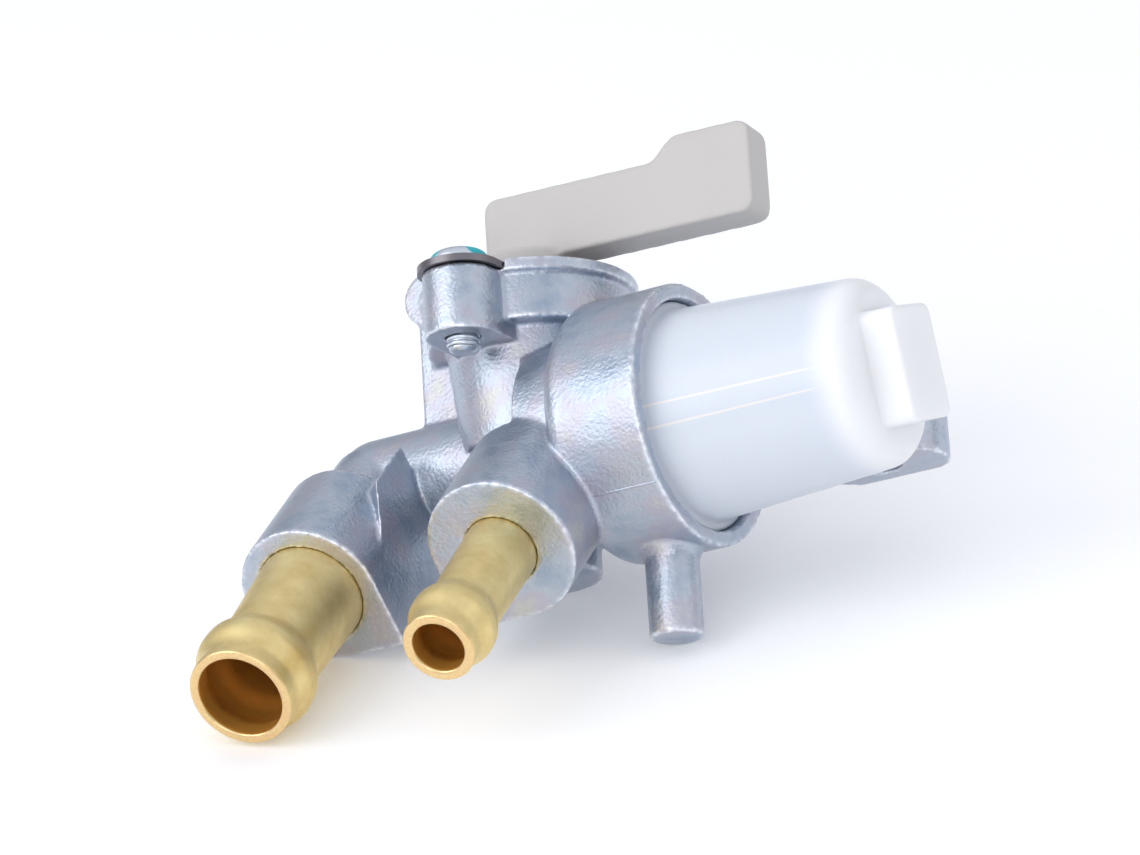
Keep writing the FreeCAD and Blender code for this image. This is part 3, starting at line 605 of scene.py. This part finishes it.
def mark_worn_and_highlit_edges(data, radius):
    """Stores how far each point stands on a convex edge, from 0 on a flat to 1 on an edge of that radius; the
    zinc paints these edges near white, partly as wear and partly as a painted highlight.
    """
    count = len(data.vertices)
    spots = np.empty(count * 3)
    data.vertices.foreach_get("co", spots)
    spots = spots.reshape(-1, 3)
    normals = np.empty(count * 3)
    data.vertex_normals.foreach_get("vector", normals)
    normals = normals.reshape(-1, 3)
    pairs = np.empty(len(data.edges) * 2, dtype=np.int64)
    data.edges.foreach_get("vertices", pairs)
    a, b = pairs.reshape(-1, 2).T
    apart = spots[b] - spots[a]
    squared = np.maximum((apart ** 2).sum(1), 1e-12)
    bend = np.bincount(a, -(normals[a] * apart).sum(1) / squared, count)
    bend += np.bincount(b, (normals[b] * apart).sum(1) / squared, count)
    shared = np.maximum(np.bincount(a, minlength=count) + np.bincount(b, minlength=count), 1)
    worn = np.clip(2 * bend / shared * radius, 0, 1)
    for _ in range(2):
        near = np.bincount(a, worn[b], count) + np.bincount(b, worn[a], count)
        worn = 0.5 * worn + 0.5 * near / shared
    attribute = data.attributes.new("worn_edge", "FLOAT", "POINT")
    attribute.data.foreach_set("value", worn.astype(np.float32))


def round_outline(radius, out=0.0, up=0.0, steps=32, half=False):
    """A circle of (radius, height) points, or its outer half where it stands on the axis."""
    low, high = (-math.pi / 2, math.pi / 2) if half else (0, 2 * math.pi)
    count = steps + 1 if half else steps
    points = []
    for step in range(count):
        angle = low + (high - low) * step / steps
        points.append((max(out + radius * math.cos(angle), 0.0), up + radius * math.sin(angle)))
    return points


class TAP_OT_casting(bpy.types.Operator):
    """Softens the casting's edges, adds its parting line and gives it its passivated skin"""
    bl_idname = "fuel_tap.casting"
    bl_label = "Casting"

    def execute(self, context):
        finish = context.scene.fuel_tap.casting
        edge = round_outline(finish.ring_round, finish.ring_radius - finish.ring_round,
                             finish.ring_depth - finish.ring_round)
        dome = round_outline(finish.barrel_radius, steps=48, half=True)
        inlet_height = MOUNTS["inlet_bore"]["pos_m"][2]
        top = Vector((RIM.x, RIM.y, inlet_height + finish.barrel_cap - finish.barrel_radius))
        fillings = [(edge, Matrix.Translation(RIM)), (dome, Matrix.Translation(top))]
        body = softened("tap_casting", "casting_skin", finish, fillings)
        mark_worn_and_highlit_edges(body.data, finish.worn_radius)
        zinc = passivated_zinc(finish)
        body.data.materials.append(zinc)
        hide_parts("tap_casting")
        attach(body, "body")

        # the parting line: a round-backed thread of metal, sunk so that about a fifth of it stands out
        out = finish.ring_radius - finish.seam_width * 0.28
        foot = Vector((math.cos(finish.seam_angle) * out, math.sin(finish.seam_angle) * out,
                       finish.seam_start))
        half, rise = finish.seam_width / 2, finish.seam_rise
        mesh = bmesh.new()
        outline = [(0.0, 0.0), (half * 0.6, 0.0), (half, half),
                   (half, rise - half), (half * 0.6, rise), (0.0, rise)]
        spin(mesh, outline, Matrix.Translation(RIM + foot), 16)
        data = taken(mesh, "parting_line")
        data.polygons.foreach_set("use_smooth", [True] * len(data.polygons))
        line = new_piece("parting_line", data)
        line.data.materials.append(zinc)
        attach(line, "body")
        return {"FINISHED"}


# The rolled bead, in shares of the tube's length past its boss: where the wall has thinned to the neck, and
# where the bead begins, how long it rises, where its crest is, and where and how long it falls
NECK_AT, BEAD_FROM, BEAD_RISE, BEAD_CREST, BEAD_FALL_FROM, BEAD_FALL = 0.62, 0.60, 0.145, 0.76, 0.79, 0.115
TUBE_STEPS = 72


def tube_outline(bore, wall, neck, bead, lip, curl, seat, reach):
    """The (radius, height) outline of a tube with a rolled bead, and the height where its rim begins."""
    def ease(value):
        value = min(max(value, 0.0), 1.0)
        return value * value * (3 - 2 * value)

    def swell(share):
        return ease((share - BEAD_FROM) / BEAD_RISE) * (1 - ease((share - BEAD_FALL_FROM) / BEAD_FALL))

    def stand(share):
        if share < BEAD_CREST:
            return wall + (neck - wall) * min(share / NECK_AT, 1.0) + (bead - neck) * swell(share)
        return lip + (bead - lip) * swell(share)

    shares = [step / TUBE_STEPS for step in range(TUBE_STEPS)]
    outside = [(bore + wall, 0.0)] + [(bore + stand(share), seat + reach * share) for share in shares
                                      if reach * (1 - share) > curl]
    rim = [(bore + lip - curl + curl * math.cos(angle), seat + reach - curl + curl * math.sin(angle))
           for angle in (0.0, 0.4, 0.8, 1.2, math.pi / 2)]
    inside = [(bore + curl * 0.6, seat + reach), (bore, seat + reach - curl * 0.6)]
    # inside, the bead's hollow is three quarters as deep
    inside += [(bore + (bead - lip) * 0.75 * swell(share), seat + reach * share)
               for share in reversed(shares) if 0.5 < share and reach * (1 - share) > curl]
    return outside + rim + inside + [(bore, seat), (bore, 0.0)], seat + reach - curl * 0.75


class TAP_OT_spigots(bpy.types.Operator):
    """Turns the two brass hose spigots, each with a rolled bead"""
    bl_idname = "fuel_tap.spigots"
    bl_label = "Spigots"

    def execute(self, context):
        finish = context.scene.fuel_tap.spigots
        finishes = drawn_brass(finish), cut_brass(finish), bore_brass(finish)
        turn = Vector((0, 0, 1)).rotation_difference(HOSEWARD).to_matrix().to_4x4()
        for end in ("inlet", "outlet"):
            mount = MOUNTS[end + "_bore"]
            reach = mount["dims"]["length_mm"] * MM - finish.seat
            start = Vector(mount["pos_m"]) - HOSEWARD * (reach / 2 + finish.seat)
            bore, wall, neck, bead, lip = (getattr(finish, f"{end}_{part}")
                                           for part in ("bore", "wall", "neck", "bead", "lip"))
            outline, rim = tube_outline(bore, wall, neck, bead, lip, finish.curl, finish.seat, reach)
            mesh = bmesh.new()
            # drawn outside, cut at the rim, and the bore, with its painted glow, where a face looks towards
            # the axis
            for face in spin(mesh, outline, Matrix.Translation(start) @ turn, 128):
                face.smooth = True
                offset = face.calc_center_median() - start
                along = offset.dot(HOSEWARD)
                face.normal_update()
                if along > rim:
                    face.material_index = 1
                elif face.normal.dot(offset - HOSEWARD * along) < 0:
                    face.material_index = 2
            data = taken(mesh, end + "_tube")
            for material in finishes:
                data.materials.append(material)
            tube = new_piece(end + "_tube", data)
            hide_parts(end + "_spigot")
            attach(tube, "body")
        return {"FINISHED"}


class TAP_OT_bowl(bpy.types.Operator):
    """Softens the milky bowl and dresses the strainer, its gauze and the seal"""
    bl_idname = "fuel_tap.bowl"
    bl_label = "Bowl and strainer"

    def execute(self, context):
        finish = context.scene.fuel_tap.bowl
        closed = RIM.z - (BOWL_LOW.z + finish.key_height)
        corner = round_outline(finish.end_round, finish.end_radius - finish.end_round, finish.end_round)
        place = Matrix.Translation(RIM - Vector((0, 0, closed)))
        bowl = softened("sediment_bowl", "bowl_shell", finish, [(corner, place)])
        milky = natural_polyamide(finish)
        bowl.data.materials.append(milky)
        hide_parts("sediment_bowl")
        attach(bowl, "body")
        dress(["strainer_cage"], milky)
        dress(["strainer_gauze"], woven_nylon(finish))
        dress(["bowl_seal", "port_packing"], nitrile_rubber(finish))
        return {"FINISHED"}


class TAP_OT_lever(bpy.types.Operator):
    """Softens the moulded lever's edges and gives it its grain"""
    bl_idname = "fuel_tap.lever"
    bl_label = "Lever"

    def execute(self, context):
        finish = context.scene.fuel_tap.lever
        lever = softened("tap_lever", "lever_moulding", finish)
        lever.data.materials.append(grey_acetal(finish))
        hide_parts("tap_lever")
        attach(lever, "lever")
        return {"FINISHED"}


def thread_tree(steel):
    """Geometry nodes for a screw's thread: a ridge wound from each point of the input, towards the front."""
    tree = bpy.data.node_groups.new("Screw thread", "GeometryNodeTree")
    tree.interface.new_socket("Geometry", in_out="INPUT", socket_type="NodeSocketGeometry")
    for name in ("Pitch", "Turns", "Core radius", "Thread radius"):
        tree.interface.new_socket(name, in_out="INPUT", socket_type="NodeSocketFloat")
    tree.interface.new_socket("Geometry", in_out="OUTPUT", socket_type="NodeSocketGeometry")
    given = node(tree, "NodeGroupInput").outputs
    rise = node(tree, "ShaderNodeMath", {0: given["Pitch"], 1: given["Turns"]}, operation="MULTIPLY")
    depth = node(tree, "ShaderNodeMath", {0: given["Thread radius"], 1: given["Core radius"]},
                 operation="SUBTRACT")
    path = node(tree, "GeometryNodeCurveSpiral", {
        "Resolution": 36, "Rotations": given["Turns"], "Start Radius": given["Core radius"],
        "End Radius": given["Core radius"], "Height": rise.outputs[0]})
    ridge = node(tree, "GeometryNodeCurvePrimitiveCircle", {"Resolution": 4, "Radius": depth.outputs[0]})
    wound = node(tree, "GeometryNodeCurveToMesh", {
        "Curve": path.outputs["Curve"], "Profile Curve": ridge.outputs["Curve"], "Fill Caps": True})
    placed = node(tree, "GeometryNodeInstanceOnPoints", {
        "Points": given["Geometry"], "Instance": wound.outputs["Mesh"], "Rotation": (math.pi / 2, 0, 0)})
    real = node(tree, "GeometryNodeRealizeInstances", {"Geometry": placed.outputs["Instances"]})
    made = node(tree, "GeometryNodeSetMaterial", {"Geometry": real.outputs["Geometry"], "Material": steel})
    node(tree, "NodeGroupOutput", {"Geometry": made.outputs["Geometry"]})
    return tree


# The head's profile: the share of its height that stands upright, and the powers that flatten its dome
HEAD_UPRIGHT, HEAD_OUT, HEAD_UP, HEAD_STEPS = 0.24, 0.66, 0.8, 16


def screw_outline(finish, tip):
    """The (radius, height) outline of a screw's core and round head, with the head's seat at height 0."""
    chamfer = 0.35 * MM
    outline = [(0.0, tip), (finish.core * 0.72, tip), (finish.core, tip + chamfer), (finish.core, 0.0),
               (finish.head_radius, 0.0), (finish.head_radius, finish.head_height * HEAD_UPRIGHT)]
    for step in range(1, HEAD_STEPS):
        turn = math.pi / 2 * step / HEAD_STEPS
        rise = HEAD_UPRIGHT + (1 - HEAD_UPRIGHT) * math.sin(turn) ** HEAD_UP
        outline.append((finish.head_radius * math.cos(turn) ** HEAD_OUT, finish.head_height * rise))
    return outline + [(0.0, finish.head_height)]


def make_screws(finish, middles, tip):
    """Two screws with a cross cut in each head."""
    outline = screw_outline(finish, tip)
    # local Z of a screw runs to the front, out of its head
    forward = Matrix.Rotation(math.pi / 2, 4, "X")
    mesh, slots = bmesh.new(), bmesh.new()
    for middle in middles:
        place = Matrix.Translation(middle) @ forward
        spin(mesh, outline, place, 64)
        # one slot is 0.02 mm shallower, which keeps the two slots' floors apart
        for wide, high, lift in ((finish.recess_length, finish.recess_width, 0.02 * MM),
                                 (finish.recess_width, finish.recess_length, 0.0)):
            block = Matrix.Translation((0, 0, finish.head_height + lift)) @ \
                Matrix.Diagonal((wide, high, finish.recess_depth * 2, 1))
            bmesh.ops.create_cube(slots, size=1.0, matrix=place @ block)
    screws = new_piece("screws", taken(mesh, "screws"))
    cutter = new_piece("slots", taken(slots, "slots"))
    carve = screws.modifiers.new("Slots", "BOOLEAN")
    carve.operation = "DIFFERENCE"
    carve.solver = "EXACT"
    carve.use_self = True
    carve.object = cutter
    soften = screws.modifiers.new("Edges", "BEVEL")
    soften.width = finish.head_edge
    soften.segments = 2
    soften.limit_method = "ANGLE"
    plain(screws)
    bpy.data.objects.remove(cutter)
    screws.data.set_sharp_from_angle(angle=math.radians(40))
    screws.data.materials.clear()
    return screws


def make_threads(finish, middles, tip, steel):
    """The threads that show behind the screw ears, wound by geometry nodes."""
    ends = bpy.data.meshes.new("screw_threads")
    start = Vector((0, -tip - finish.thread_start, 0))
    ends.from_pydata([middle + start for middle in middles], [], [])
    threads = new_piece("screw_threads", ends)
    tree = thread_tree(steel)
    wind = threads.modifiers.new("Thread", "NODES")
    wind.node_group = tree
    sizes = {"Pitch": finish.pitch, "Turns": finish.turns, "Core radius": finish.core,
             "Thread radius": finish.thread}
    for socket in tree.interface.items_tree:
        if socket.in_out == "INPUT" and socket.name in sizes:
            wind[socket.identifier] = sizes[socket.name]
    plain(threads)
    if not threads.data.polygons:
        raise RuntimeError("the screw threads came out empty")
    face_outwards(threads.data)
    return threads


# Dabs of locking paint on the near head, in millimetres from the middle of its seat, and their reach; between
# them the paint has worn off
PAINT_DABS = (((-0.43, -1.2, -2.64), 1.6), ((-2.47, -1.2, 1.36), 0.9))


class TAP_OT_screws(bpy.types.Operator):
    """Makes the two screws with their heads and threads, and dresses the plate and the spring washer"""
    bl_idname = "fuel_tap.screws"
    bl_label = "Plate and screws"

    def execute(self, context):
        finish = context.scene.fuel_tap.screws
        seat = SCREW_LOW.y + finish.head_height
        height = (SCREW_LOW.z + SCREW_HIGH.z) / 2
        middles = [Vector((x, seat, height)) for x in (SCREW_LOW.x + finish.head_radius,
                                                       SCREW_HIGH.x - finish.head_radius)]
        tip = seat - SCREW_HIGH.y
        steel = plated_steel(finish, [(middles[0] + Vector(offset) * MM, reach * MM)
                                      for offset, reach in PAINT_DABS])
        screws = make_screws(finish, middles, tip)
        screws.data.materials.append(steel)
        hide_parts("plate_screws")
        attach(screws, "body")

        threads = make_threads(finish, middles, tip, steel)
        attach(threads, "body")

        dress(["setting_plate"], rolled_steel("rolled_steel", finish.plate, 0.34))
        dress(["wave_washer"], rolled_steel("spring_steel", finish.spring, 0.28))
        return {"FINISHED"}


def make_camera():
    """The camera of the photograph, aimed so that the bowl's rim falls on its pixel."""
    data = bpy.data.cameras.new("Camera")
    camera = new_piece("Camera", data)
    data.sensor_width = SENSOR_WIDTH
    data.lens = SENSOR_WIDTH * FOCAL_PIXELS / IMAGE[0]
    turn = CAMERA_TURN.transposed()
    offset = Vector(((AIM_PIXEL[0] - IMAGE[0] / 2) / PIXELS_A_MM,
                     -(AIM_PIXEL[1] - IMAGE[1] / 2) / PIXELS_A_MM,
                     -FOCAL_PIXELS / PIXELS_A_MM)) * MM
    camera.matrix_world = Matrix.Translation(RIM - turn @ offset) @ turn.to_4x4()
    data.clip_start, data.clip_end = 0.01, 20
    bpy.context.scene.camera = camera


def white_floor(settings):
    """Matt white paper: shown only from above, and lifted to white where the eye or a shine looks at it."""
    material, tree, shader, _ = new_material("white_paper", roughness=0.9)
    shader.inputs["Base Color"].default_value = settings.floor
    shader.inputs["Specular IOR Level"].default_value = 0.0
    path = node(tree, "ShaderNodeLightPath")
    seen = node(tree, "ShaderNodeMath", {0: path.outputs["Is Camera Ray"], 1: path.outputs["Is Glossy Ray"]},
                operation="MAXIMUM")
    seen = node(tree, "ShaderNodeMath", {0: seen.outputs[0], 1: path.outputs["Is Transmission Ray"]},
                operation="MAXIMUM")
    lift = node(tree, "ShaderNodeMath", {0: seen.outputs[0], 1: settings.lift}, operation="MULTIPLY")
    glow = node(tree, "ShaderNodeEmission", {"Strength": lift.outputs[0]})
    both = node(tree, "ShaderNodeAddShader", {0: shader.outputs["BSDF"], 1: glow.outputs["Emission"]})
    clear = node(tree, "ShaderNodeBsdfTransparent")
    side = node(tree, "ShaderNodeNewGeometry")
    shown = node(tree, "ShaderNodeMixShader", {
        0: side.outputs["Backfacing"], 1: both.outputs["Shader"], 2: clear.outputs["BSDF"]})
    output = next(item for item in tree.nodes if item.type == "OUTPUT_MATERIAL")
    tree.links.new(shown.outputs["Shader"], output.inputs["Surface"])
    # the lift is for the eye only, so the floor isn't sampled as a lamp
    material.cycles.emission_sampling = "NONE"
    return material


def make_world(settings):
    """A plain room: bright overhead, dimmer at the sides, and white where the camera looks past the floor."""
    world = bpy.data.worlds.new("Studio")
    bpy.context.scene.world = world
    world.use_nodes = True
    tree = world.node_tree
    tree.nodes.clear()
    towards = node(tree, "ShaderNodeTexCoord").outputs["Generated"]
    height = node(tree, "ShaderNodeVectorMath", {0: towards, 1: FLOOR_UP}, operation="DOT_PRODUCT")
    level = node(tree, "ShaderNodeMapRange", {
        "Value": height.outputs["Value"], "From Min": -0.1, "From Max": 0.9, "To Min": 0.5, "To Max": 1.3},
                 interpolation_type="SMOOTHSTEP")
    bright = node(tree, "ShaderNodeMath", {0: level.outputs["Result"], 1: settings.sky},
                  operation="MULTIPLY")
    room = node(tree, "ShaderNodeBackground", {"Color": settings.room, "Strength": bright.outputs[0]})
    white = node(tree, "ShaderNodeBackground", {"Color": (1, 1, 1, 1), "Strength": 1.0})
    path = node(tree, "ShaderNodeLightPath")
    mixed = node(tree, "ShaderNodeMixShader", {
        0: path.outputs["Is Camera Ray"], 1: room.outputs["Background"], 2: white.outputs["Background"]})
    node(tree, "ShaderNodeOutputWorld", {"Surface": mixed.outputs["Shader"]})


def make_lamp(name, power, size, direction, distance):
    """A square soft lamp that looks at the tap from a direction."""
    data = bpy.data.lights.new(name, "AREA")
    data.energy, data.size, data.shape = power, size, "SQUARE"
    lamp = new_piece(name, data)
    aim = (Vector(CAD_BOX[0]) + Vector(CAD_BOX[1])) / 2
    direction = direction.normalized()
    lamp.matrix_world = Matrix.Translation(aim + direction * distance) @ \
        direction.to_track_quat("Z", "Y").to_matrix().to_4x4()


class TAP_OT_studio(bpy.types.Operator):
    """Lays the white floor and sets up the lamps, the room's light and the camera"""
    bl_idname = "fuel_tap.studio"
    bl_label = "Studio"

    def execute(self, context):
        settings = context.scene.fuel_tap.studio
        lowest = min(FLOOR_UP.dot(corner.co) for item in frame["nodes"].values()
                     for corner in item.data.vertices)
        mesh = bmesh.new()
        turn = Vector((0, 0, 1)).rotation_difference(FLOOR_UP).to_matrix().to_4x4()
        bmesh.ops.create_grid(mesh, x_segments=1, y_segments=1, size=settings.floor_half,
                              matrix=Matrix.Translation(FLOOR_UP * lowest) @ turn)
        data = taken(mesh, "floor")
        data.materials.append(white_floor(settings))
        new_piece("floor", data)
        right, up, back = (Vector(row) for row in CAMERA_TURN)
        for name, direction in (("key", back * 0.53 + up * 0.25 - right * 0.85),
                                ("fill", back * 0.5 + up * 0.3 + HOSEWARD * 0.8),
                                ("side", back * 0.45 + up * 0.35 + right * 0.9)):
            make_lamp(name.capitalize(), getattr(settings, name), getattr(settings, name + "_size"),
                      direction, settings.distance)
        make_world(settings)
        make_camera()
        return {"FINISHED"}


class TAP_PT_panel(bpy.types.Panel):
    """Lists the tap's pieces in the sidebar"""
    bl_idname = "TAP_PT_panel"
    bl_label = "Fuel tap"
    bl_space_type = "VIEW_3D"
    bl_region_type = "UI"
    bl_category = "Fuel tap"

    def draw(self, context):
        for operator in OPERATORS:
            self.layout.operator(operator.bl_idname)
        for group in ("casting", "spigots", "bowl", "lever", "screws", "studio"):
            settings = getattr(context.scene.fuel_tap, group)
            box = self.layout.box()
            box.label(text=group.capitalize())
            for prop in settings.bl_rna.properties:
                if prop.identifier not in ("rna_type", "name"):
                    box.prop(settings, prop.identifier)


OPERATORS = (TAP_OT_casting, TAP_OT_spigots, TAP_OT_bowl, TAP_OT_lever, TAP_OT_screws, TAP_OT_studio)
GROUPS = (CastingFinish, SpigotFinish, BowlFinish, LeverFinish, ScrewFinish, StudioSettings, TapSettings)


def register():
    for item in (*GROUPS, *OPERATORS, TAP_PT_panel):
        bpy.utils.register_class(item)
    bpy.types.Scene.fuel_tap = PointerProperty(type=TapSettings)


def unregister():
    del bpy.types.Scene.fuel_tap
    for item in reversed((*GROUPS, *OPERATORS, TAP_PT_panel)):
        bpy.utils.unregister_class(item)


def main():
    register()
    bpy.context.scene.view_settings.view_transform = "Standard"
    bpy.ops.fuel_tap.casting()
    bpy.ops.fuel_tap.spigots()
    bpy.ops.fuel_tap.bowl()
    bpy.ops.fuel_tap.lever()
    bpy.ops.fuel_tap.screws()
    bpy.ops.fuel_tap.studio()


if __name__ == "__main__":
    main()
